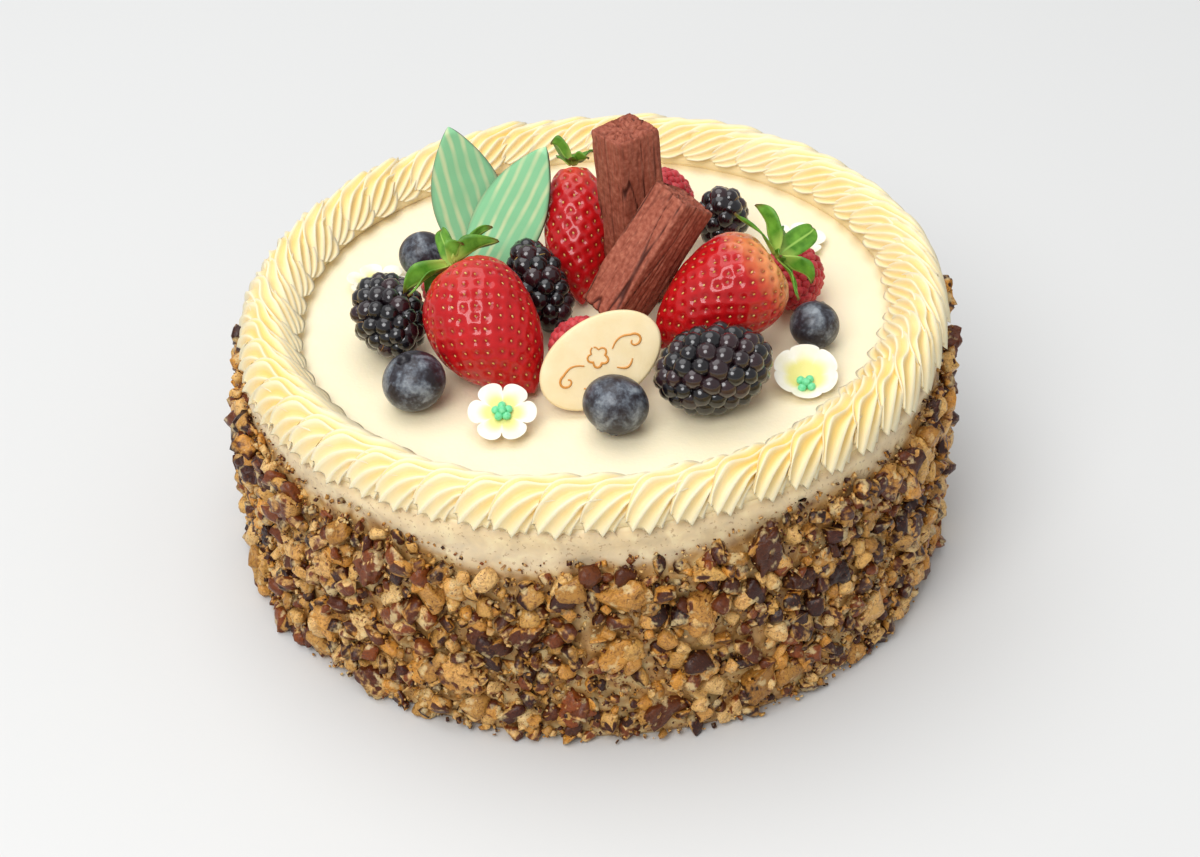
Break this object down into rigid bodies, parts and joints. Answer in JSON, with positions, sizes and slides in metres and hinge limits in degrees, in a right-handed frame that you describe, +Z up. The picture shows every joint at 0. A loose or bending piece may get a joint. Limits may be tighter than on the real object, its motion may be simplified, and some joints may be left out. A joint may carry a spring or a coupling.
{
  "type": "carrot walnut cake",
  "caption": "Round frosted carrot cake with chopped walnuts round its side, a piped rope border and a centre of berries, chocolate sticks, mint leaves and sugar flowers.",
  "frame": {"origin": "middle of the cake's flat bottom, on the surface it stands on", "axes": "+Z up, +X to the right of the decorated front, +Y towards its back"},
  "size_m": [0.22, 0.2198, 0.1327],
  "materials": {
    "frosting": "satin cream-cheese frosting",
    "border_frosting": "satin piped cream-cheese frosting",
    "strawberry_flesh": "glossy seeded berry skin",
    "strawberry_leaf": "satin green leaf",
    "bramble_skin": "glossy near-black drupelets",
    "raspberry_skin": "downy pink-red drupelets",
    "blueberry_skin": "slate-blue skin with a waxy bloom",
    "milk_chocolate": "matt crinkled milk chocolate",
    "mint_chocolate": "satin mint-green white chocolate with pale stripes",
    "white_chocolate": "satin ivory white chocolate",
    "sugar_paste": "fine matt sugar paste"
  },
  "bodies": {
    "root": {"cake": "frosting", "piped_border": "border_frosting", "strawberry_left": "strawberry_flesh", "strawberry_back": "strawberry_flesh", "strawberry_right": "strawberry_flesh", "strawberry_left_leaves": "strawberry_leaf", "strawberry_back_leaves": "strawberry_leaf", "strawberry_right_leaves": "strawberry_leaf", "bramble_left": "bramble_skin", "bramble_middle": "bramble_skin", "bramble_back": "bramble_skin", "bramble_front": "bramble_skin", "raspberry_left": "raspberry_skin", "raspberry_front": "raspberry_skin", "raspberry_back": "raspberry_skin", "raspberry_right": "raspberry_skin", "blueberry_back": "blueberry_skin", "blueberry_left": "blueberry_skin", "blueberry_front": "blueberry_skin", "blueberry_right": "blueberry_skin", "chocolate_stick_upright": "milk_chocolate", "chocolate_stick_leaning": "milk_chocolate", "chocolate_leaf_left": "mint_chocolate", "chocolate_leaf_right": "mint_chocolate", "plaque": "white_chocolate", "sugar_flower_front_left": "sugar_paste", "sugar_flower_front_right": "sugar_paste", "sugar_flower_back_left": "sugar_paste", "sugar_flower_back_right": "sugar_paste"}
  },
  "joints": []
}
